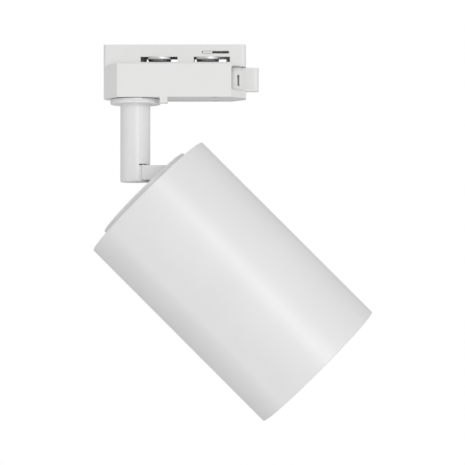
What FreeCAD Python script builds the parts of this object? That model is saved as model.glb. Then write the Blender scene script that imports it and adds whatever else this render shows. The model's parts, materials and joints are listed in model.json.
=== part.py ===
"""Track spotlight: a cylinder head on a stem that hangs from a single-circuit track adapter.

Frame: +Z up, X along the track, the origin where the pan axis meets the track seat.
Millimetres. The head's pieces are made in the head's own frame (origin on the head's axis,
level with the tilt pivots, light going towards -Z) and then placed at the rest tilt.
"""

import FreeCAD, Part
import math
import os
import re
import Sketcher

V = FreeCAD.Vector
doc = FreeCAD.newDocument("TrackSpotlight")
sheet = doc.addObject("Spreadsheet::Sheet", "Sizes")

SIZES = {
    # adapter
    "adapter_len": 91.8,        # along the track
    "pan_to_end": 20.1,         # pan axis to the near end of the adapter
    "base_wide": 36.0,          # body under the track
    "base_deep": 21.3,
    "corner_x": 9.5,            # bevel of the body's upright corners
    "corner_y": 12.5,
    "block_wide": 17.0,         # block that enters the track
    "block_tall": 13.3,
    "block_round": 2.5,
    "wall": 2.0,
    "ledge_wall": 1.5,
    "plate": 2.4,               # adapter base plate
    "tab_deep": 7.0,            # small tab under the base plate
    "tab_down": 3.8,
    "tab_left": 16.8,
    "tab_right": 21.6,
    "gap": 0.3,                 # clearance between moving pieces
    "fit": 0.05,                # radial running fit
    "loose": 0.1,               # clearance between fixed pieces
    "over": 1.0,                # how far a cutting tool runs past a face
    "near_screws": 11.0,        # base screws, from each end and from the sides
    "far_screws": 20.0,
    "screw_inset": 5.8,
    "post_radius": 3.0,
    "tapping_radius": 1.1,      # self-tapping base screws
    "tapping_way": 1.35,
    "tapping_head": 2.2,
    "tapping_sink": 2.4,
    "tapping_len": 9.0,
    "head_cone": 1.1,
    # earth contact and terminal block
    "earth_low": 7.4,
    "earth_high": 9.1,
    "earth_left": 3.5,          # slot ends, from the right wing's axis
    "earth_right": 13.8,
    "earth_strip": 6.2,
    "strip_thick": 0.3,
    "spring_wide": 1.8,
    "spring_thick": 0.6,
    "spring_low": -15.0,
    "finger_thick": 0.5,
    "terminal_left": 22.0,
    "terminal_len": 14.0,
    "terminal_side": -7.0,
    "terminal_top": -6.0,
    "well_inset": 3.5,
    "well_radius": 1.8,
    "well_y": -11.5,
    "well_deep": 3.0,
    "well_screw": 2.4,
    # wings and their drive
    "left_axis": 15.8,
    "right_axis": 47.0,
    "lever_inset": 8.2,         # lever's axis to the far end of the adapter
    "slot_low": 2.0,
    "slot_high": 5.4,
    "slot_short": 8.8,          # slot ends, from the wing's axis
    "slot_half": 11.9,
    "slot_long": 14.5,
    "wing_radius": 10.5,
    "wing_wide": 14.2,
    "wing_edge": 1.2,
    "wing_bulge": 1.4,
    "wing_drop": 0.2,           # slot roof to the wing's flat side
    "rotor_radius": 5.8,
    "core": 5.0,                # square core through the wing
    "core_rise": 2.0,
    "cap_rise": 2.8,
    "cap_pin": 2.5,
    "bearing_radius": 4.5,
    "bearing_rise": 3.5,
    "socket_roof": 1.4,
    "spindle": 1.5,
    "crank": 4.5,               # crank radius of the parallel link
    "crank_angle": 127.5,       # rest angle of every crank
    "crank_pin": 1.2,
    "link_low": -9.3,
    "link_thick": 2.0,
    "link_half": 1.7,
    "eye": 2.4,
    "lever_top": -1.2,
    "lever_low": -16.5,
    "lever_out": 8.3,           # lever's tip beyond the far end of the adapter
    "lever_thick": 6.4,
    "lever_round": 2.6,
    "lever_hub": 6.2,
    "lever_swing": 0.6,         # room round the lever's hub
    "notch_front": 3.0,         # the link's notch in the lever's hub
    "notch_left": 2.4,
    "mouth_left": 1.0,          # lever mouth starts this far before the lever's axis
    "mouth_round": 2.0,
    "pin_bridge": 1.6,          # top of the bridge that holds the lever's pin
    "pin_top": 0.4,
    "pin_boss": 3.0,
    "slit_left": 2.7,           # finger slit in the lever, from its axis
    "slit_right": 4.0,
    "slit_low": -13.2,
    "slit_high": -6.1,
    # pan joint and stem
    "flange_radius": 16.2,
    "flange_thick": 3.5,
    "flange_round": 0.5,
    "groove_deep": 0.3,
    "mark_wide": 5.5,
    "mark_tall": 2.0,
    "stem_radius": 9.7,
    "stem_low": -75.2,
    "stem_bore": 7.4,
    "web": 7.0,                 # solid stem above the arm
    "nipple_radius": 5.0,
    "nipple_bore": 3.6,
    "nipple_low": -36.0,
    "nipple_high": 10.0,        # above the base plate
    "pan_boss": 2.0,
    "washer_radius": 8.0,
    "pan_washer": 1.0,
    "spring_washer": 1.2,
    "nut_thick": 3.5,
    "stop_radius": 10.5,
    "stop_half": 1.5,
    "stop_deep": 1.1,
    "nib_radius": 1.2,
    "nib_tall": 0.8,
    # knuckle
    "arm_level": -69.2,
    "arm_tall": 9.4,
    "arm_wide": 19.0,
    "arm_start": 3.0,
    "arm_gap": 0.9,             # over the arm's root
    "arm_screw_x": 4.9,
    "arm_screw_end": 2.6,       # above the arm's axis
    "arm_reach": 14.07,         # stem's side to the pivots
    "lead_radius": 2.0,
    "lead_way": 0.3,
    "lead_x": -4.0,
    "pivot_screw": 2.0,
    "pivot_end": 4.2,
    "shoulder": 2.5,
    "screw_head": 3.2,
    "cheek_out": 3.6,           # arm face to the pivot screws' heads
    "head_thick": 2.2,
    "washer_thick": 0.7,
    "washer_out": 4.6,
    # head
    "rest_tilt": 45.0,          # head axis below the horizontal at rest
    "axis_offset": 21.7,        # pivot to head axis
    "disc_radius": 35.9,
    "foot_margin": 0.6,         # narrower foot that leaves the shadow gap, past the hub screws
    "shadow_gap": 0.5,
    "disc_round": 0.4,
    "disc_proud": 3.75,
    "disc_level": 4.15,         # outer face of the disc above the pivots
    "pocket_deep": 11.4,
    "pocket_floor": 2.8,
    "pocket_room": 1.0,
    "pocket_round": 1.5,
    "arm_sweep": 11.1,          # pocket beyond the pivots towards the stem's side
    "lead_step": 4.0,           # head lead inside the pivots' line
    "grommet_wall": 1.6,
    "grommet_lip": 3.0,
    "tube_radius": 49.6,
    "tube_len": 155.5,
    "tube_wall": 2.0,
    "tube_round": 0.5,
    "rear_wall": 3.0,
    "ledge": 5.0,               # ring inside the tube that the heat sink screws to
    "ledge_tall": 3.0,
    "ledge_slope": 4.0,
    "sink_front": 97.0,         # front face of the heat sink behind the pivots' level
    "sink_plate": 6.0,
    "sink_margin": 6.0,
    "fin_tall": 34.0,
    "fin_thick": 2.0,
    "fin_margin": 8.0,
    "sink_screw_inset": 2.6,
    "driver_gap": 16.0,         # rear wall to the driver
    "driver_rise": 5.0,         # fins to the driver
    "driver_half": 33.0,
    "driver_deep": 20.0,
    "driver_round": 2.0,
    "bracket_radius": 40.0,
    "bracket_thick": 2.0,
    "bracket_circle": 37.0,
    "spacer_circle": 34.0,
    "spacer_radius": 2.5,
    "screw_large": 1.5,
    "screw_small": 1.25,
    "cap_large": 2.7,
    "cap_small": 2.2,
    "cap_tall": 1.8,
    "led_lead_x": 21.5,
    "led_lead_radius": 1.2,
    "led_lead_way": 3.0,
    "cob_radius": 12.0,
    "cob_thick": 1.0,
    "phosphor_rise": 0.5,
    "holder_radius": 19.0,
    "holder_thick": 4.0,
    "holder_circle": 16.8,
    "reflector_throat": 11.4,
    "reflector_wall": 1.2,
    "glass_back": 141.5,
    "glass_thick": 3.0,
    "glass_play": 0.5,
    "gasket_wide": 3.0,
    "gasket_tall": 2.0,
    "ring_wide": 3.4,
    "ring_tall": 4.0,
    "supply_radius": 1.3,
}
for row, (alias, number) in enumerate(SIZES.items(), start=1):
    sheet.set("A%d" % row, alias)
    sheet.set("B%d" % row, str(number))
    sheet.setAlias("B%d" % row, alias)
doc.recompute()

parts = {}                      # node name to its document object


def sheet_names(text):
    """An expression in plain size names, written for the document."""
    words = re.compile(r"[a-z_]+")
    return words.sub(lambda w: "Sizes." + w.group() if w.group() in SIZES else w.group(), str(text))


def number(text):
    """The value of an expression in plain size names."""
    cell = "Z1"
    sheet.set(cell, "=" + re.sub(r"Sizes\.", "", sheet_names(text)))
    sheet.recompute()
    return float(sheet.get(cell))


def bind(item, **properties):
    for prop, text in properties.items():
        item.setExpression(prop, sheet_names(text))


def place(item, x="0", y="0", z="0", turn=None):
    if turn is not None:
        item.Placement = FreeCAD.Placement(V(), turn)
    for axis, text in zip("xyz", (x, y, z)):
        item.setExpression("Placement.Base." + axis, sheet_names(text))
    return item


TURN = {
    "Z": FreeCAD.Rotation(),
    "Y": FreeCAD.Rotation(V(1, 0, 0), -90),
    "X": FreeCAD.Rotation(V(0, 1, 0), 90),
}


def block(x, y, z):
    """A box between pairs of expressions."""
    item = doc.addObject("Part::Box", "Block")
    bind(item, Length="(%s) - (%s)" % (x[1], x[0]), Width="(%s) - (%s)" % (y[1], y[0]))
    bind(item, Height="(%s) - (%s)" % (z[1], z[0]))
    return place(item, x[0], y[0], z[0])


def rod(radius, span, x="0", y="0", z="0", axis="Z"):
    """A cylinder along an axis; span is its pair of ends on that axis."""
    item = doc.addObject("Part::Cylinder", "Rod")
    bind(item, Radius=radius, Height="(%s) - (%s)" % (span[1], span[0]))
    at = {"x": x, "y": y, "z": z, axis.lower(): span[0]}
    return place(item, at["x"], at["y"], at["z"], TURN[axis])


def cone(low, high, span, x="0", y="0"):
    item = doc.addObject("Part::Cone", "Cone")
    bind(item, Radius1=low, Radius2=high, Height="(%s) - (%s)" % (span[1], span[0]))
    return place(item, x, y, span[0])


def hexagon(radius, span, x="0", y="0"):
    item = doc.addObject("Part::Prism", "Hexagon")
    item.Polygon = 6
    bind(item, Circumradius=radius, Height="(%s) - (%s)" % (span[1], span[0]))
    return place(item, x, y, span[0])


def join(*items):
    if len(items) == 1:
        return items[0]
    item = doc.addObject("Part::MultiFuse", "Join")
    item.Shapes = list(items)
    return item


def cut(base, *tools):
    item = doc.addObject("Part::Cut", "Cut")
    item.Base = base
    item.Tool = join(*tools)
    return item


def common(first, second):
    item = doc.addObject("Part::Common", "Common")
    item.Base = first
    item.Tool = second
    return item


def group(*items):
    """Separate solids of one kind, kept apart in one node."""
    item = doc.addObject("Part::Compound", "Group")
    item.Links = list(items)
    return item


def rounded(base, radius, wanted):
    """Fillet the edges of base for which wanted(edge) is true."""
    doc.recompute()
    size = number(radius)
    edges = [(i, size, size) for i, edge in enumerate(base.Shape.Edges, start=1) if wanted(edge)]
    item = doc.addObject("Part::Fillet", "Round")
    item.Base = base
    item.Edges = edges
    return item


def upright(edge):
    return abs(edge.tangentAt(edge.FirstParameter).z) > 0.99


def keep(name, item):
    item.Label = name
    parts[name] = item
    return item


TILT = "rest_tilt * 1 deg"
HEAD_X = "stem_radius + arm_reach - axis_offset * cos(%s)" % TILT
HEAD_Z = "arm_level - axis_offset * sin(%s)" % TILT


def keep_head(name, item):
    """Place a piece made in the head's frame at the rest tilt."""
    turn = FreeCAD.Rotation(V(0, 1, 0), number("rest_tilt") - 90)
    if item.TypeId in ("Part::Cylinder", "Part::Box"):
        item = group(item)
    return keep(name, place(item, HEAD_X, "0", HEAD_Z, turn))


def outline(body, plane, points):
    """A closed sketch of straight lines whose corners are bound to the sheet."""
    sketch = body.newObject("Sketcher::SketchObject", "Sketch")
    origin = [o for o in body.Origin.OriginFeatures if o.Role == plane][0]
    sketch.AttachmentSupport = [(origin, "")]
    sketch.MapMode = "FlatFace"
    at = [(number(x), number(y)) for x, y in points]
    total = len(points)
    for i, (x, y) in enumerate(at):
        after = at[(i + 1) % total]
        sketch.addGeometry(Part.LineSegment(V(x, y, 0), V(after[0], after[1], 0)), False)
    for i in range(total):
        sketch.addConstraint(Sketcher.Constraint("Coincident", i, 2, (i + 1) % total, 1))
    for i, (x, y) in enumerate(at):
        for kind, value, text in (("DistanceX", x, points[i][0]), ("DistanceY", y, points[i][1])):
            index = sketch.addConstraint(Sketcher.Constraint(kind, -1, 1, i, 1, value))
            sketch.renameConstraint(index, "%s%d" % (kind, i))
            sketch.setExpression("Constraints.%s%d" % (kind, i), sheet_names(text))
    return sketch


def pad(body, sketch, length):
    feature = body.newObject("PartDesign::Pad", "Pad")
    feature.Profile = sketch
    bind(feature, Length=length)
    return feature


def revolve(body, points):
    """Turn a half section in X and Z about Z."""
    feature = body.newObject("PartDesign::Revolution", "Revolution")
    feature.Profile = outline(body, "XZ_Plane", points)
    feature.ReferenceAxis = (feature.Profile[0], ["V_Axis"])
    feature.Angle = 360
    return body


# ---------------------------------------------------------------- adapter
END_L = "-pan_to_end"
END_R = "(adapter_len - pan_to_end)"
HALF = "(base_wide / 2)"
INNER_HALF = "(base_wide / 2 - wall)"
BLOCK_HALF = "(block_wide / 2)"
CHAMBER_HALF = "(block_wide / 2 - wall)"
FLAT = "(base_wide / 2 - corner_y)"
PLATE_TOP = "(plate - base_deep)"
UNDER = "(-base_deep - over)"
LEVER_X = "(adapter_len - pan_to_end - lever_inset)"
LEVER_TIP = "(adapter_len - pan_to_end + lever_out)"
AXES = {"left": "left_axis", "right": "right_axis"}
CRANK_X = "crank * cos(crank_angle * 1 deg)"
CRANK_Y = "crank * sin(crank_angle * 1 deg)"
LINK_TOP = "(link_low + link_thick)"
WING_TOP = "(slot_high - wing_drop)"
CORE_TOP = "(slot_high + core_rise)"
CAP_TOP = "(slot_high + cap_rise)"
SOCKET_TOP = "(block_tall - socket_roof)"
SIDES = (-1, 1)


def screw_places():
    """Where the four base screws stand."""
    near = "near_screws - pan_to_end"
    far = END_R + " - far_screws"
    return [(x, "%d * (base_wide / 2 - screw_inset)" % side) for x in (near, far) for side in SIDES]


def octagon(inset):
    """The adapter body's outline, moved in by inset on every side."""
    left, right = "%s + %s" % (END_L, inset), "%s - %s" % (END_R, inset)
    half, flat = "%s - %s" % (HALF, inset), "(%s - %s * 0.45)" % (FLAT, inset)
    in_l = "(corner_x - pan_to_end + %s * 0.5)" % inset
    in_r = "(%s - corner_x - %s * 0.5)" % (END_R, inset)
    return [(left, "-" + flat), (in_l, "-(%s)" % half), (in_r, "-(%s)" % half), (right, "-" + flat),
            (right, flat), (in_r, half), (in_l, half), (left, flat)]


def prism(name, inset, low, high):
    """The adapter body's outline as a solid between two levels."""
    body = doc.addObject("PartDesign::Body", name)
    pad(body, outline(body, "XY_Plane", octagon(inset)), "(%s) - (%s)" % (high, low))
    return place(body, "0", "0", low)


def band(axis, before, after, low, high, front="-base_wide", back="base_wide"):
    """A cutting box along the adapter's side, from before an axis to after it."""
    return block(("%s - %s" % (axis, before), "%s + %s" % (axis, after)), (front, back), (low, high))


def wing_slots():
    """Each wing leaves through a slot in the near wall and one in the far wall."""
    spans = [("left_axis", "slot_half", "slot_half", "-base_wide", "0"),
             ("left_axis", "slot_short", "slot_half", "0", "base_wide"),
             ("right_axis", "slot_short", "slot_long", "-base_wide", "0"),
             ("right_axis", "slot_short", "slot_half", "0", "base_wide")]
    return [band(axis, before, after, "slot_low", "slot_high", front, back)
            for axis, before, after, front, back in spans]


def lever_mouth():
    """The opening that the lever swings out of, and the room for its hub and its inward swing."""
    level = ("lever_low - gap", "lever_top + gap")
    mouth = block((LEVER_X + " - mouth_left", LEVER_X + " + base_wide"),
                  ("-base_wide", "lever_thick / 2 + over"), level)
    rounded_mouth = rounded(mouth, "mouth_round", lambda e: abs(e.tangentAt(e.FirstParameter).y) > 0.99)
    relief = block((LEVER_X + " - lever_hub", LEVER_X), ("-lever_hub * 2 - over", "0"),
                   ("-ledge_wall - over", "lever_top + gap"))
    return [rounded_mouth, relief, rod("lever_hub + lever_swing", level, LEVER_X)]


def make_housing():
    body = prism("HousingOuter", "0", "-base_deep", "0")
    top = rounded(block((END_L, END_R), ("-" + BLOCK_HALF, BLOCK_HALF), ("-over", "block_tall")),
                  "block_round", upright)
    hollow = prism("HousingInner", "wall", UNDER, "-ledge_wall")
    chamber = block((END_L + " + wall", END_R + " - wall"), ("-" + CHAMBER_HALF, CHAMBER_HALF),
                    ("-ledge_wall - over", "block_tall - wall"))
    shell = cut(join(body, top), hollow, chamber)
    bearings = [rod("bearing_radius", ("slot_high + bearing_rise", "block_tall - over"), x)
                for x in AXES.values()]
    posts = [rod("post_radius", (PLATE_TOP, "-over"), x, y) for x, y in screw_places()]
    pin_seat = rod("pin_boss", ("-ledge_wall - loose", "pin_bridge"), LEVER_X)
    bridge = block((LEVER_X + " - pin_boss", END_R + " - over"), ("-" + BLOCK_HALF, BLOCK_HALF),
                   ("-ledge_wall", "pin_bridge"))
    solid = join(shell, *bearings, *posts, pin_seat, bridge)
    earth = band("right_axis", "earth_left", "earth_right", "earth_low", "earth_high",
                 "-base_wide", "-%s + loose" % CHAMBER_HALF)
    sockets = [rod("cap_pin + fit", (CAP_TOP + " - wing_drop", SOCKET_TOP), x) for x in AXES.values()]
    pin_hole = rod("spindle", ("-wall", "pin_top"), LEVER_X)
    threads = [rod("tapping_radius", (UNDER, "tapping_len - base_deep + over"), x, y)
               for x, y in screw_places()]
    return keep("adapter_housing", cut(solid, *wing_slots(), earth, *sockets, pin_hole, *threads,
                                       *lever_mouth()))


def make_base_plate():
    plate = prism("PlateBlank", "(wall + loose)", "-base_deep", PLATE_TOP)
    boss = rod("washer_radius", (PLATE_TOP, PLATE_TOP + " + pan_boss"))
    tab_y = "tab_deep - %s" % HALF
    tab = block(("tab_left", "tab_right"), ("-" + HALF, tab_y), ("-base_deep - tab_down", "-base_deep"))
    lug = block(("tab_left", "tab_right"), ("-%s + gap" % INNER_HALF, tab_y), (UNDER, PLATE_TOP))
    pin_socket = rod("pin_boss", (PLATE_TOP, PLATE_TOP + " + wing_drop"), LEVER_X)
    bearing = rod("nipple_radius + fit", (UNDER, "0"))
    holes = [rod("tapping_way", (UNDER, "0"), x, y) for x, y in screw_places()]
    sinks = [cone("tapping_sink", "tapping_way", ("-base_deep", "-base_deep + head_cone + loose"), x, y)
             for x, y in screw_places()]
    spindles = [rod("spindle + fit", (PLATE_TOP + " - over", "0"), x) for x in AXES.values()]
    pin_hole = rod("spindle", (PLATE_TOP + " - over", "0"), LEVER_X)
    ring = cut(rod("stop_radius + stop_half", (UNDER, "-base_deep + stop_deep")),
               rod("stop_radius - stop_half", (UNDER + " - over", "0")))
    stop = block(("0", "stop_radius * 2"), ("-over", "over"), (UNDER + " - over", "0"))
    groove = cut(ring, stop)
    keep("adapter_base", cut(join(plate, boss, tab, lug, pin_socket), bearing, *holes, *sinks, *spindles,
                             pin_hole, groove))


def tapping_screw(x, y):
    """Countersunk screw that points up from the base plate's underside."""
    shank = rod("tapping_radius", ("-base_deep + head_cone / 2", "tapping_len - base_deep"), x, y)
    head = cone("tapping_head", "tapping_radius", ("-base_deep", "-base_deep + head_cone"), x, y)
    return join(shank, head)


def make_contacts():
    half = "earth_strip / 2"
    strip = band("right_axis", half, half, "earth_low + wing_drop", "earth_high - wing_drop",
                 "-" + BLOCK_HALF, "-" + CHAMBER_HALF)
    back = band("right_axis", half, half, "earth_low - spring_thick", "block_tall - wall",
                "-" + CHAMBER_HALF, "-%s + strip_thick" % CHAMBER_HALF)
    keep("ground_contact", join(strip, back))
    half = "spring_wide / 2"
    for side, x in AXES.items():
        spring = band(x, half, half, "spring_low", "-ledge_wall", INNER_HALF + " - spring_thick", INNER_HALF)
        finger = band(x, half, half, "-ledge_wall - finger_thick", "-ledge_wall",
                      "rotor_radius + slot_low", INNER_HALF)
        keep(side + "_contact_spring", join(spring, finger))


def make_terminals():
    right = "terminal_left + terminal_len"
    blank = block(("terminal_left", right), ("-%s + loose" % INNER_HALF, "terminal_side"),
                  (PLATE_TOP, "terminal_top"))
    low = "terminal_top - well_deep"
    places = ("terminal_left + well_inset", right + " - well_inset")
    wells = [rod("well_radius", (low, "terminal_top + over"), x, "well_y") for x in places]
    keep("terminal_block", cut(blank, *wells))
    keep("terminal_screws", group(*[rod("well_radius", (low, low + " + well_screw"), x, "well_y")
                                    for x in places]))


def make_adapter():
    make_housing()
    make_base_plate()
    keep("base_screws", group(*[tapping_screw(x, y) for x, y in screw_places()]))
    keep("lever_pin", rod("spindle", (PLATE_TOP + " - over + wing_drop", "pin_top"), LEVER_X))
    make_contacts()
    make_terminals()


# ---------------------------------------------------------------- wings, lever and link
def core_at(x, low, high):
    """The square that locks a wing and its cap to the rotor."""
    return block((x + " - core / 2", x + " + core / 2"), ("-core / 2", "core / 2"), (low, high))


def make_rotor(side, x):
    """Rotor, wing and cap turn as one about the axis at x."""
    level = LINK_TOP + " + gap"
    rotor = join(rod("spindle", (PLATE_TOP + " - over + gap", level), x),
                 rod("rotor_radius", (level, "slot_low + gap"), x),
                 rod("crank_pin", ("link_low - gap", level), "%s + %s" % (x, CRANK_X), CRANK_Y),
                 core_at(x, "0", CORE_TOP))
    keep(side + "_rotor", rotor)
    edge_low = WING_TOP + " - wing_edge"
    blank = join(rod("wing_radius", (edge_low, WING_TOP), x),
                 cone("wing_radius * 0.55", "wing_radius", (edge_low + " - wing_bulge", edge_low), x))
    strip = block((x + " - wing_wide / 2", x + " + wing_wide / 2"), ("-base_wide", "base_wide"),
                  ("0", "block_tall"))
    keep(side + "_wing", cut(common(blank, strip), core_at(x, "0", "block_tall")))
    cap = join(rod("rotor_radius", (WING_TOP, CAP_TOP), x),
               rod("cap_pin", (CAP_TOP, SOCKET_TOP + " - gap"), x))
    keep(side + "_rotor_cap", cut(cap, core_at(x, "0", CORE_TOP)))


def make_lever():
    hub = rod("lever_hub", ("lever_low", "lever_top"), LEVER_X)
    blade = block((LEVER_X, LEVER_TIP), ("-lever_thick / 2", "lever_thick / 2"), ("lever_low", "lever_top"))
    tip = number(LEVER_TIP)
    tab = rounded(blade, "lever_round", lambda e: upright(e) and e.Vertexes[0].X > tip - 1)
    bore = rod("spindle + fit", ("-base_deep", "over"), LEVER_X)
    level = ("link_low - gap", LINK_TOP + " + gap")
    notches = [block((LEVER_X + " - base_wide", LEVER_X + " + loose"), ("-notch_front", "base_wide"), level),
               block((LEVER_X + " - base_wide", LEVER_X + " - notch_left"), ("-base_wide", "0"), level)]
    slit = block((LEVER_X + " + slit_left", LEVER_X + " + slit_right"), ("-base_wide", "-spindle / 2"),
                 ("slit_low", "slit_high"))
    crank_pin = rod("crank_pin", ("link_low - gap * 2", LINK_TOP + " + gap * 2"),
                    "%s + %s" % (LEVER_X, CRANK_X), CRANK_Y)
    keep("lock_lever", join(cut(join(hub, tab), bore, *notches, slit), crank_pin))


def make_link():
    stops = ["%s + %s" % (x, CRANK_X) for x in list(AXES.values()) + [LEVER_X]]
    level = ("link_low", LINK_TOP)
    eyes = [rod("eye", level, x, CRANK_Y) for x in stops]
    rail = block((stops[0], stops[-1]), ("%s - link_half" % CRANK_Y, "%s + link_half" % CRANK_Y), level)
    holes = [rod("crank_pin + fit", ("-base_deep", "0"), x, CRANK_Y) for x in stops]
    keep("link_bar", cut(join(rail, *eyes), *holes))


def make_drive():
    for side, x in AXES.items():
        make_rotor(side, x)
    make_lever()
    make_link()


# ---------------------------------------------------------------- stem
FLANGE_TOP = "(-base_deep - gap)"
FLANGE_LOW = "(-base_deep - flange_thick)"
ARM_TOP = "(arm_level + arm_tall / 2)"
ARM_LOW = "(arm_level - arm_tall / 2)"
ARM_HALF = "(arm_wide / 2)"
WEB_TOP = "(arm_level + arm_tall / 2 + web)"
NIPPLE_TOP = "(plate - base_deep + nipple_high)"
PIVOT_X = "(stem_radius + arm_reach)"


def make_flange():
    disc = rounded(rod("flange_radius", (FLANGE_LOW, FLANGE_TOP)), "flange_round", lambda e: True)
    nib = rod("nib_radius", (FLANGE_TOP + " - over / 2", "-base_deep + nib_tall"), "-stop_radius")
    mark = block(("0", "mark_wide"), ("-flange_radius - gap", "-flange_radius + wall"),
                 (FLANGE_TOP + " - mark_tall", FLANGE_TOP))
    groove_at = (FLANGE_TOP + " - groove_deep * 4", FLANGE_TOP + " - groove_deep * 3")
    groove = cut(rod("flange_radius + over", groove_at), rod("flange_radius - groove_deep", groove_at))
    keep("stem_flange", cut(join(cut(disc, groove), nib, mark),
                            rod("nipple_radius", ("-base_deep * 2", "0"))))


def make_stem_tube():
    tube = rounded(rod("stem_radius", ("stem_low", FLANGE_LOW)), "over",
                   lambda e: e.BoundBox.ZMax < number("stem_low") + 0.1 and not upright(e))
    bore = rod("stem_bore", (WEB_TOP, "nipple_low - over"))
    thread = rod("nipple_radius", ("nipple_low - over * 2", FLANGE_LOW + " + over"))
    notch = block(("arm_start", "stem_radius * 2"), ("-stem_radius * 2", "stem_radius * 2"),
                  (ARM_LOW, ARM_TOP + " + arm_gap"))
    screw_way = rod("screw_large + loose", (ARM_TOP, WEB_TOP + " + over"), "arm_screw_x")
    lead_low = "arm_level - lead_radius - lead_way"
    lead_way = rod("lead_radius + lead_way", (lead_low, WEB_TOP + " + over"), "lead_x")
    lead_out = rod("lead_radius + lead_way", ("lead_x", "arm_start + over"), z="arm_level", axis="X")
    keep("stem_tube", cut(tube, bore, thread, notch, screw_way, lead_way, lead_out))


def make_pan_joint():
    """The nipple holds the stem to the base plate through a washer, a spring washer and a nut."""
    inner = ("nipple_low", "0")
    nipple = rod("nipple_radius", ("nipple_low", NIPPLE_TOP))
    keep("stem_nipple", cut(nipple, rod("nipple_bore", ("nipple_low * 2", "0"))))
    washer_low = PLATE_TOP + " + pan_boss + loose"
    spring_low = washer_low + " + pan_washer"
    nut_low = spring_low + " + spring_washer"
    keep("pan_washer", cut(rod("washer_radius", (washer_low, spring_low)), rod("nipple_radius", inner)))
    keep("spring_washer", cut(rod("washer_radius - gap * 2", (spring_low, nut_low)),
                              rod("nipple_radius", inner)))
    keep("pan_nut", cut(hexagon("washer_radius", (nut_low, nut_low + " + nut_thick")),
                        rod("nipple_radius", inner)))


def make_arm():
    side = ("-" + ARM_HALF, ARM_HALF)
    level = (ARM_LOW, ARM_TOP)
    root = join(rod("stem_radius", level), block(("stem_radius / 2", PIVOT_X), side, level))
    bar = common(block(("arm_start", PIVOT_X), side, level), root)
    eye = rod("arm_tall / 2", side, PIVOT_X, z="arm_level", axis="Y")
    beyond = PIVOT_X + " + arm_tall"
    wide = "(lead_radius + lead_way)"
    lead = rod(wide, ("arm_start - over", beyond), z="arm_level", axis="X")
    mouth = block((PIVOT_X + " - lead_radius", beyond), ("-" + wide, wide),
                  (ARM_LOW + " - over", "arm_level"))
    thread = rod("screw_large", ("arm_level + arm_screw_end", ARM_TOP + " + over"), "arm_screw_x")
    inner_end = "(pivot_end - wing_drop)"
    sides = [rod("pivot_screw", (inner_end, ARM_HALF + " + over"), PIVOT_X, z="arm_level", axis="Y"),
             rod("pivot_screw", ("-%s - over" % ARM_HALF, "-" + inner_end), PIVOT_X,
                 z="arm_level", axis="Y")]
    keep("knuckle_arm", cut(join(bar, eye), lead, mouth, thread, *sides))
    keep("arm_screw", join(rod("screw_large", ("arm_level + arm_screw_end", WEB_TOP), "arm_screw_x"),
                           rod("cap_small", (WEB_TOP, WEB_TOP + " + cap_tall"), "arm_screw_x")))


def across(radius, near, far, sign):
    """A rod on the tilt axis between two distances from the middle, on one side."""
    ends = ["%d * (%s)" % (sign, near), "%d * (%s)" % (sign, far)]
    return rod(radius, ends[::sign], PIVOT_X, z="arm_level", axis="Y")


def make_pivots():
    """Two shoulder screws from the cheeks into the arm's eye, with friction washers."""
    screws = []
    washers = []
    out = ARM_HALF + " + cheek_out"
    for sign in SIDES:
        screws.append(join(across("pivot_screw", "pivot_end", ARM_HALF, sign),
                           across("shoulder", ARM_HALF, out, sign),
                           across("screw_head", out, out + " + head_thick", sign)))
        washers.append(cut(across("washer_out", ARM_HALF, ARM_HALF + " + washer_thick", sign),
                           across("shoulder", ARM_HALF + " - over", ARM_HALF + " + over * 2", sign)))
    keep("pivot_screws", group(*screws))
    keep("friction_washers", group(*washers))


def make_stem():
    make_flange()
    make_stem_tube()
    make_pan_joint()
    make_arm()
    make_pivots()


# ---------------------------------------------------------------- head
RIM = "(disc_level - disc_proud)"
INNER = "(tube_radius - tube_wall)"
FRONT = "(disc_level - disc_proud - tube_len)"
REAR_IN = "(disc_level - disc_proud - rear_wall)"
POCKET_FLOOR = "(disc_level - pocket_deep)"
HUB_LOW = "(disc_level - pocket_deep - pocket_floor)"
SINK = "(-sink_front)"
LEDGE = "(sink_plate - sink_front)"
FINS_TOP = "(sink_plate - sink_front + fin_tall)"
DRIVER_LOW = "(sink_plate - sink_front + fin_tall + driver_rise)"
DRIVER_TOP = "(disc_level - disc_proud - rear_wall - driver_gap)"
GLASS = "(-glass_back)"
GLASS_LOW = "(-glass_back - glass_thick)"
CHEEK = "(arm_wide / 2 + washer_thick + loose)"
HEADS_OUT = "(arm_wide / 2 + cheek_out + head_thick)"
BOSS = "(sqrt((axis_offset + screw_head)^2 + %s^2) + loose)" % HEADS_OUT
HUB_CIRCLE = "(%s + cap_large + gap)" % BOSS
FOOT = "(%s + screw_large + foot_margin)" % HUB_CIRCLE
HEAD_LEAD_X = "(axis_offset - lead_step)"
SINK_CIRCLE = "(tube_radius - tube_wall - sink_screw_inset)"
DEEP = ("-tube_len * 2", "0")


def ring_of(count, radius, start=0.0):
    """Places of count screws evenly round the head's axis."""
    angles = [start + i * 360.0 / count for i in range(count)]
    return [("(%s) * cos(%f deg)" % (radius, a), "(%s) * sin(%f deg)" % (radius, a)) for a in angles]


HUB_SCREWS = ring_of(4, HUB_CIRCLE, 45)
SINK_SCREWS = ring_of(3, SINK_CIRCLE, 90)
BRACKET_SCREWS = ring_of(3, "bracket_circle", 60)
SPACERS = ring_of(3, "spacer_circle", 30)
HOLDER_SCREWS = ring_of(2, "holder_circle", 0)


def cap_screws(name, places, radius, head, tip, seat, up):
    """Screws from tip to seat, with heads above the seat if up, else below it."""
    shank = (tip, seat) if up else (seat, tip)
    cap = (seat, seat + " + cap_tall") if up else (seat + " - cap_tall", seat)
    return keep_head(name, group(*[join(rod(radius, shank, x, y), rod(head, cap, x, y)) for x, y in places]))


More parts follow.
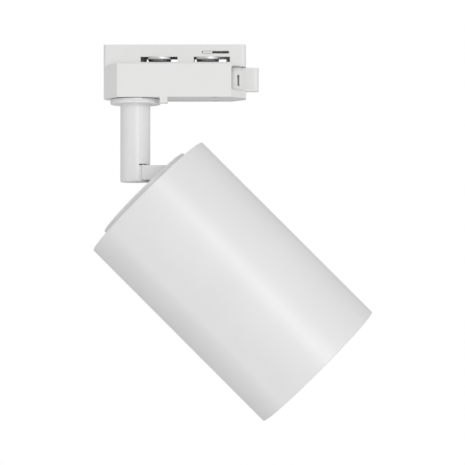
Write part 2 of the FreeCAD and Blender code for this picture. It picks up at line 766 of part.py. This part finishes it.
def make_tube():
    mouth = BOSS + " + loose"
    points = [(mouth, REAR_IN), (mouth, RIM), ("tube_radius", RIM), ("tube_radius", FRONT), (INNER, FRONT),
              (INNER, LEDGE), (INNER + " - ledge", LEDGE), (INNER + " - ledge", LEDGE + " + ledge_tall"),
              (INNER, LEDGE + " + ledge_tall + ledge_slope"), (INNER, REAR_IN)]
    body = doc.addObject("PartDesign::Body", "TubeBlank")
    revolve(body, points)
    outer = number("tube_radius")
    soft = rounded(body, "tube_round", lambda e: abs(e.BoundBox.XMax - outer) < 0.01
                   and not upright(e) and e.BoundBox.ZLength < 0.01)
    screw_ways = [rod("screw_large + loose", (REAR_IN + " - over", RIM + " + over"), x, y)
                  for x, y in HUB_SCREWS]
    sink_ways = [rod("screw_small", (LEDGE + " - over", LEDGE + " + ledge_tall + ledge_slope + over"), x, y)
                 for x, y in SINK_SCREWS]
    keep_head("head_tube", cut(soft, *screw_ways, *sink_ways))


def make_hub():
    level = number("disc_level")
    disc = rounded(rod("disc_radius", (RIM + " + shadow_gap", "disc_level")), "disc_round",
                   lambda e: e.BoundBox.ZMin > level - 0.1 and not upright(e))
    foot = rod(FOOT, (RIM, "disc_level - over"))
    boss = rod(BOSS, (HUB_LOW, "disc_level - over"))
    stem_side = "axis_offset - arm_sweep - stem_radius - arm_reach"
    pocket = rounded(block((stem_side, "axis_offset + arm_tall / 2 + pocket_room"), ("-" + CHEEK, CHEEK),
                           (POCKET_FLOOR, "disc_level + over")), "pocket_round", upright)
    pivots = rod("shoulder + fit", ("-" + HEADS_OUT, HEADS_OUT), "axis_offset", axis="Y")
    seat = "(arm_wide / 2 + cheek_out - loose)"
    inside = rod(BOSS + " + loose", (HUB_LOW + " - over", "disc_level"))
    ways = [rod("screw_head + wing_drop", (seat, "tube_radius"), "axis_offset", axis="Y"),
            rod("screw_head + wing_drop", ("-tube_radius", "-" + seat), "axis_offset", axis="Y")]
    head_ways = [common(way, inside) for way in ways]
    lead = rod("lead_radius + grommet_wall", ("-tube_radius", "0"), HEAD_LEAD_X)
    threads = [rod("screw_large", (REAR_IN, "disc_level - over * 1.4"), x, y) for x, y in HUB_SCREWS]
    keep_head("rear_hub", cut(join(disc, foot, boss), pocket, pivots, *head_ways, lead, *threads))
    tip = "disc_level - over * 1.6"
    cap_screws("hub_screws", HUB_SCREWS, "screw_large", "cap_large", tip, REAR_IN, False)
    lip = ("%s - grommet_wall" % HUB_LOW, HUB_LOW)
    grommet = join(rod("lead_radius + grommet_wall", (HUB_LOW + " - over", POCKET_FLOOR), HEAD_LEAD_X),
                   rod("lead_radius + grommet_lip", lip, HEAD_LEAD_X))
    keep_head("cable_grommet", cut(grommet, rod("lead_radius", ("-tube_radius", "0"), HEAD_LEAD_X)))


def make_driver():
    case = block(("-driver_half", "driver_half"), ("-driver_deep", "driver_deep"), (DRIVER_LOW, DRIVER_TOP))
    keep_head("driver_case", rounded(case, "driver_round", upright))
    under = DRIVER_LOW + " - bracket_thick"
    plate = rod("bracket_radius", (under, DRIVER_LOW))
    holes = [rod("led_lead_way", DEEP, "led_lead_x", "0")]
    holes += [rod("screw_large", DEEP, x, y) for x, y in BRACKET_SCREWS]
    keep_head("driver_bracket", cut(plate, *holes))
    keep_head("bracket_spacers", group(*[rod("spacer_radius", (FINS_TOP, under), x, y) for x, y in SPACERS]))
    cap_screws("driver_screws", BRACKET_SCREWS, "screw_large", "cap_large", under, DRIVER_LOW, True)


def make_sink():
    plate = rod(INNER + " - loose", (SINK, LEDGE))
    root = (LEDGE + " - over", FINS_TOP)
    count = 9
    pitch = "((tube_radius - fin_margin) * 2 / %d)" % count
    fins = [block(("%d * %s - fin_thick / 2" % (i, pitch), "%d * %s + fin_thick / 2" % (i, pitch)),
                  ("-tube_radius", "tube_radius"), root)
            for i in range(-(count // 2), count // 2 + 1)]
    finned = common(rod(INNER + " - sink_margin", root), join(*fins))
    ways = [rod("screw_small + loose", DEEP, x, y) for x, y in SINK_SCREWS]
    lead = rod("led_lead_way", DEEP, "led_lead_x", "0")
    keep_head("heat_sink", cut(join(plate, finned), *ways, lead))
    cap_screws("sink_screws", SINK_SCREWS, "screw_small", "cap_small", LEDGE + " + sink_plate", SINK, False)


def make_lamp():
    base = ("-cob_radius", "cob_radius")
    low = SINK + " - cob_thick"
    keep_head("led_cob", join(block(base, base, (low, SINK)),
                              rod("cob_radius * 0.75", (low + " - phosphor_rise", low))))
    seat = SINK + " - holder_thick"
    holder = cut(rod("holder_radius", (seat, SINK)), block(base, base, (low, "0")),
                 rod("cob_radius * 0.85", DEEP), *[rod("screw_large", DEEP, x, y) for x, y in HOLDER_SCREWS])
    keep_head("cob_holder", holder)
    cap_screws("holder_screws", HOLDER_SCREWS, "screw_large", "cap_small", SINK, seat, False)


def make_reflector():
    """A neck past the holder's screws, then a flare that grows with the root of the distance."""
    back = "(%s - holder_thick)" % SINK
    neck = "(%s - holder_thick - cap_tall - gap)" % SINK
    stretch = "(%s - %s)" % (neck, GLASS)
    flare = "(%s - holder_thick - reflector_throat)" % INNER
    steps = 5
    outer = [("reflector_throat", back)]
    inner = [("reflector_throat - reflector_wall", back)]
    for i in range(steps + 1):
        share = i / steps
        radius = "reflector_throat + %s * %f" % (flare, math.sqrt(share))
        level = "%s - %s * %f" % (neck, stretch, share)
        outer.append((radius, level))
        inner.append((radius + " - reflector_wall", level))
    keep_head("reflector", revolve(doc.addObject("PartDesign::Body", "Reflector"), outer + inner[::-1]))


def make_front():
    keep_head("front_glass", rod(INNER + " - glass_play", (GLASS_LOW, GLASS)))
    gasket = (GLASS, GLASS + " + gasket_tall")
    keep_head("glass_gasket", cut(rod(INNER, gasket), rod(INNER + " - gasket_wide", gasket)))
    ring = (GLASS_LOW + " - ring_tall", GLASS_LOW)
    keep_head("front_ring", cut(rod(INNER, ring), rod(INNER + " - ring_wide", ring)))


def make_head():
    make_tube()
    make_hub()
    make_driver()
    make_sink()
    make_lamp()
    make_reflector()
    make_front()


# ---------------------------------------------------------------- leads
def round_lead(points, radius):
    """A round lead along straight runs with rounded joints at the corners."""
    pieces = []
    for start, end in zip(points, points[1:]):
        run = end - start
        pieces.append(Part.makeCylinder(radius, run.Length, start, run))
    for corner in points[1:-1]:
        pieces.append(Part.makeSphere(radius, corner))
    return pieces[0].fuse(pieces[1:]).removeSplitter() if pieces[1:] else pieces[0]


def lead(name, points, radius, keeper=keep):
    item = doc.addObject("Part::Feature", name)
    item.Shape = round_lead([V(*[number(c) for c in p]) for p in points], number(radius))
    return keeper(name, item)


def make_leads():
    terminal_y = "well_y + spindle / 3"
    terminal_z = "terminal_top * 2"
    lead("supply_lead", [("terminal_left", terminal_y, terminal_z),
                         ("terminal_left - 3", terminal_y, terminal_z),
                         ("terminal_left - 12", "-9", "-4"),
                         ("0", "0", "-4"),
                         ("0", "0", NIPPLE_TOP)], "supply_radius")
    lead("stem_lead", [("0", "0", NIPPLE_TOP),
                       ("0", "0", "nipple_low - 9"),
                       ("lead_x", "0", WEB_TOP + " + 2"),
                       ("lead_x", "0", "arm_level"),
                       (PIVOT_X + " - lead_radius - gap", "0", "arm_level")], "lead_radius")
    lead("head_lead", [(HEAD_LEAD_X, "0", POCKET_FLOOR + " + over"), (HEAD_LEAD_X, "0", DRIVER_TOP)],
         "lead_radius", keep_head)
    lead("led_lead", [("led_lead_x", "0", DRIVER_LOW), ("led_lead_x", "0", SINK + " - cob_thick - loose")],
         "led_lead_radius", keep_head)


make_adapter()
make_drive()
make_stem()
make_head()
make_leads()
doc.recompute()

bad = [item.Name for item in doc.Objects if "Invalid" in item.State or "Error" in item.State]
bad += [name for name, item in parts.items() if item.Shape.isNull() or not item.Shape.isValid()]
if bad:
    raise RuntimeError("not built: " + ", ".join(bad))
os.makedirs("parts", exist_ok=True)
for name, item in parts.items():
    item.Shape.exportStep("parts/%s.step" % name)
    print("%-22s solids %d volume %.1f" % (name, len(item.Shape.Solids), item.Shape.Volume))
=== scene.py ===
"""Track spotlight: materials, small visible details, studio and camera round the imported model."""
import json
import math

import bmesh
import bpy
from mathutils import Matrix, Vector


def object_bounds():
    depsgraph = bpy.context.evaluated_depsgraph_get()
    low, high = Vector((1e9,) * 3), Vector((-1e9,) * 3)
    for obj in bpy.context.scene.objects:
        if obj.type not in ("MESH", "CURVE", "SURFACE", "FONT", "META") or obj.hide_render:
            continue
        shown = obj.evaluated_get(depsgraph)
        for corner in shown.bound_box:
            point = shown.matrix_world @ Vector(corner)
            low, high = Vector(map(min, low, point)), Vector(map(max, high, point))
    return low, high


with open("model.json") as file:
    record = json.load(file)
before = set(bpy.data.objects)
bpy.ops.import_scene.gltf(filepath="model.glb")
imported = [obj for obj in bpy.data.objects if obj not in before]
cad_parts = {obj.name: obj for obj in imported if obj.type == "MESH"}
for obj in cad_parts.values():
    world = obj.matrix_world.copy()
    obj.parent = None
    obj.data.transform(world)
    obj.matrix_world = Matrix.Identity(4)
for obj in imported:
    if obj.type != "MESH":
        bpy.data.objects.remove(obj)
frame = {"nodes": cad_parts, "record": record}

CAD_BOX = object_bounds()
NODES = frame["nodes"]
SLOT_OF = {part["node"]: part["material_slot"] for part in frame["record"]["subparts"]}
MM = 0.001
CENTRE = (CAD_BOX[0] + CAD_BOX[1]) / 2


# ---------------------------------------------------------------- materials
GLOSS_GRAIN = 0.4          # noise scale of the gloss against that of the relief: wider patches
RELIEF = 0.5               # bump strength


def shader(name, base, roughness, metallic=0.0, coat=0.0):
    material = bpy.data.materials.new(name)
    material.use_nodes = True
    tree = material.node_tree
    surface = tree.nodes["Principled BSDF"]
    surface.inputs["Base Color"].default_value = (*base, 1)
    surface.inputs["Roughness"].default_value = roughness
    surface.inputs["Metallic"].default_value = metallic
    surface.inputs["Coat Weight"].default_value = coat
    return material, tree, surface


def noise(tree, scale, detail=3.0, stretch=(1, 1, 1)):
    place = tree.nodes.new("ShaderNodeTexCoord")
    mapping = tree.nodes.new("ShaderNodeMapping")
    mapping.inputs["Scale"].default_value = stretch
    texture = tree.nodes.new("ShaderNodeTexNoise")
    texture.inputs["Scale"].default_value = scale
    texture.inputs["Detail"].default_value = detail
    tree.links.new(place.outputs["Object"], mapping.inputs["Vector"])
    tree.links.new(mapping.outputs["Vector"], texture.inputs["Vector"])
    return texture.outputs["Fac"]


def ramp(tree, source, low, high, start=0.35, end=0.65):
    node = tree.nodes.new("ShaderNodeValToRGB")
    node.color_ramp.elements[0].position = start
    node.color_ramp.elements[1].position = end
    node.color_ramp.elements[0].color = (*low, 1)
    node.color_ramp.elements[1].color = (*high, 1)
    tree.links.new(source, node.inputs["Fac"])
    return node.outputs["Color"]


def spread(tree, source, low, high):
    node = tree.nodes.new("ShaderNodeMapRange")
    node.inputs["To Min"].default_value = low
    node.inputs["To Max"].default_value = high
    tree.links.new(source, node.inputs["Value"])
    return node.outputs["Result"]


def bump(tree, surface, source, strength, depth):
    node = tree.nodes.new("ShaderNodeBump")
    node.inputs["Strength"].default_value = strength
    node.inputs["Distance"].default_value = depth
    tree.links.new(source, node.inputs["Height"])
    tree.links.new(node.outputs["Normal"], surface.inputs["Normal"])


def textured(name, dark, light, rough, grain, depth,
             metallic=0.0, coat=0.0, stretch=(1, 1, 1), tint_scale=9.0):
    """A surface with slow colour drift, uneven gloss and a fine relief."""
    material, tree, surface = shader(name, light, sum(rough) / 2, metallic, coat)
    tree.links.new(ramp(tree, noise(tree, tint_scale), dark, light), surface.inputs["Base Color"])
    gloss = noise(tree, grain * GLOSS_GRAIN, 2, stretch)
    tree.links.new(spread(tree, gloss, *rough), surface.inputs["Roughness"])
    bump(tree, surface, noise(tree, grain, 4, stretch), RELIEF, depth)
    return material


def grey(value):
    return (value, value, value)


def powder_coat():
    """Satin powder coat: tight orange peel over a slow drift in tone."""
    return textured("powder_coat_white", grey(0.80), grey(0.83), (0.30, 0.38), 2600, 0.00004, tint_scale=14)


def moulded_white():
    return textured("moulded_white", (0.79, 0.79, 0.785), (0.83, 0.83, 0.825), (0.34, 0.46), 1500, 0.00003)


def plated():
    return textured("plated_contact", grey(0.58), grey(0.74), (0.42, 0.54), 900, 0.00001, 1.0,
                    stretch=(1, 9, 1))


def copper_strip():
    return textured("contact_copper", (0.62, 0.42, 0.22), (0.78, 0.56, 0.32), (0.2, 0.34), 900, 0.00001, 1.0)


def zinc_steel():
    return textured("zinc_steel", grey(0.50), grey(0.66), (0.26, 0.42), 1400, 0.00001, 1.0)


def machined_aluminium():
    return textured("machined_aluminium", grey(0.60), grey(0.74), (0.28, 0.42), 1200, 0.00001, 1.0,
                    stretch=(1, 1, 8))


def dark_moulded():
    return textured("dark_moulded", grey(0.018), grey(0.03), (0.42, 0.56), 1500, 0.00003)


def cream_moulded():
    return textured("cream_moulded", (0.66, 0.64, 0.57), (0.74, 0.72, 0.65), (0.4, 0.52), 1400, 0.00003)


def jacket():
    return textured("lead_jacket", grey(0.62), grey(0.72), (0.45, 0.6), 1300, 0.00002)


def phosphor():
    return textured("phosphor", (0.80, 0.62, 0.12), (0.88, 0.74, 0.22), (0.3, 0.4), 1800, 0.00002, coat=0.4)


def mirror_coat():
    return textured("mirror_coat", grey(0.80), grey(0.88), (0.05, 0.10), 300, 0.00001, 1.0)


def rubber():
    return textured("gasket_rubber", grey(0.02), grey(0.035), (0.6, 0.75), 1600, 0.00003)


def clear_glass():
    material, tree, surface = shader("clear_glass", (0.98, 1.0, 0.99), 0.02)
    surface.inputs["Transmission Weight"].default_value = 1.0
    surface.inputs["IOR"].default_value = 1.48
    tree.links.new(spread(tree, noise(tree, 60), 0.01, 0.03), surface.inputs["Roughness"])
    return material


MATERIAL = {
    "white_plastic": moulded_white(), "white_paint": powder_coat(), "plated_metal": plated(),
    "copper": copper_strip(), "steel": zinc_steel(), "aluminium": machined_aluminium(),
    "dark_plastic": dark_moulded(), "cream_plastic": cream_moulded(), "cable_jacket": jacket(),
    "led_ceramic": phosphor(), "mirror_coat": mirror_coat(), "clear_glass": clear_glass(),
    "black_rubber": rubber(),
}


SOFT_EDGES = {"adapter_housing": 0.35, "lock_lever": 0.35, "adapter_base": 0.3, "knuckle_arm": 0.2}   # mm
SOFT_FROM = 50             # degrees between faces from which an edge is softened
SHARP_FROM = 35            # and from which shading breaks


def dress_nodes():
    """Every CAD node gets its slot's material, and soft edges where the moulding or cast has them."""
    for name, node in NODES.items():
        node.data.materials.clear()
        node.data.materials.append(MATERIAL[SLOT_OF[name]])
        for face in node.data.polygons:
            face.use_smooth = True
    for name, width in SOFT_EDGES.items():
        bevel = NODES[name].modifiers.new("SoftEdge", "BEVEL")
        bevel.width = width * MM
        bevel.segments = 2
        bevel.limit_method = "ANGLE"
        bevel.angle_limit = math.radians(SOFT_FROM)
    for node in NODES.values():
        split = node.modifiers.new("SharpEdges", "EDGE_SPLIT")
        split.split_angle = math.radians(SHARP_FROM)
        weighted = node.modifiers.new("FlatFaces", "WEIGHTED_NORMAL")
        weighted.keep_sharp = True


# ---------------------------------------------------------------- studio
FLOOR_DROP = 1.5           # the lamp hangs, so the floor is well below it
FLOOR_HALF = 10.0          # its far edge stays just under the main view
AMBIENT = 0.58             # what the white room sends to the object
PANEL_DISTANCE = 1.6


def floor():
    mesh = bpy.data.meshes.new("floor")
    build = bmesh.new()
    bmesh.ops.create_grid(build, x_segments=1, y_segments=1, size=FLOOR_HALF)
    build.to_mesh(mesh)
    build.free()
    plate = bpy.data.objects.new("floor", mesh)
    plate.location = (0, 0, CAD_BOX[0].z - FLOOR_DROP)
    bpy.context.scene.collection.objects.link(plate)
    material, tree, surface = shader("floor_white", grey(0.9), 0.6)
    tree.links.new(ramp(tree, noise(tree, 3), grey(0.89), grey(0.91)), surface.inputs["Base Color"])
    mesh.materials.append(material)


def room():
    """White behind the object, and an even, dimmer light from all round on it."""
    world = bpy.data.worlds.new("studio")
    world.use_nodes = True
    tree = world.node_tree
    backdrop = tree.nodes["Background"]
    backdrop.inputs["Color"].default_value = (1, 1, 1, 1)
    ambient = tree.nodes.new("ShaderNodeBackground")
    ambient.inputs["Color"].default_value = (1, 1, 1, 1)
    ambient.inputs["Strength"].default_value = AMBIENT
    path = tree.nodes.new("ShaderNodeLightPath")
    mix = tree.nodes.new("ShaderNodeMixShader")
    tree.links.new(path.outputs["Is Camera Ray"], mix.inputs["Fac"])
    tree.links.new(ambient.outputs["Background"], mix.inputs[1])
    tree.links.new(backdrop.outputs["Background"], mix.inputs[2])
    tree.links.new(mix.outputs["Shader"], tree.nodes["World Output"].inputs["Surface"])
    bpy.context.scene.world = world
    bpy.context.scene.view_settings.view_transform = "Standard"


def softbox(name, towards, size, share):
    """A panel that adds share of full white to a face turned straight at it."""
    data = bpy.data.lights.new(name, "AREA")
    data.shape = "RECTANGLE"
    data.size, data.size_y = size
    data.energy = share * (math.pi * PANEL_DISTANCE) ** 2
    panel = bpy.data.objects.new(name, data)
    panel.location = CENTRE + Vector(towards).normalized() * PANEL_DISTANCE
    panel.rotation_mode = "QUATERNION"
    panel.rotation_quaternion = (CENTRE - panel.location).to_track_quat("-Z", "Y")
    bpy.context.scene.collection.objects.link(panel)


def lights():
    """A strip in front for the broad band on the head, weak sides, a kick from low left, a back fill."""
    softbox("key", (0.30, -0.90, 0.14), (0.35, 1.3), 0.33)
    softbox("left", (-0.72, -0.68, 0.05), (0.5, 1.3), 0.04)
    softbox("right", (0.75, -0.65, 0.0), (0.5, 1.3), 0.08)
    softbox("kick", (-0.70, -0.25, -0.66), (0.3, 1.3), 0.10)
    softbox("back", (-0.25, 0.88, 0.42), (1.2, 0.4), 0.16)


# ---------------------------------------------------------------- camera
SENSOR = 36.0              # mm
DISTANCE = 1.203
PICTURE_WIDTH = 0.300855   # what the picture spans at the object
AIM = CENTRE + Vector((-0.00013, 0.0, 0.00018))
EYE_RIGHT = 0.018          # the eye stands a little right of the aim and below it
EYE_DOWN = 0.022


def camera():
    data = bpy.data.cameras.new("camera")
    data.sensor_width = SENSOR
    data.lens = SENSOR * DISTANCE / PICTURE_WIDTH
    view = bpy.data.objects.new("camera", data)
    view.location = AIM + Vector((EYE_RIGHT, -DISTANCE, -EYE_DOWN))
    view.rotation_mode = "QUATERNION"
    view.rotation_quaternion = (AIM - view.location).to_track_quat("-Z", "Y")
    data.clip_start = 0.01
    bpy.context.scene.collection.objects.link(view)
    bpy.context.scene.camera = view


dress_nodes()
floor()
room()
lights()
camera()
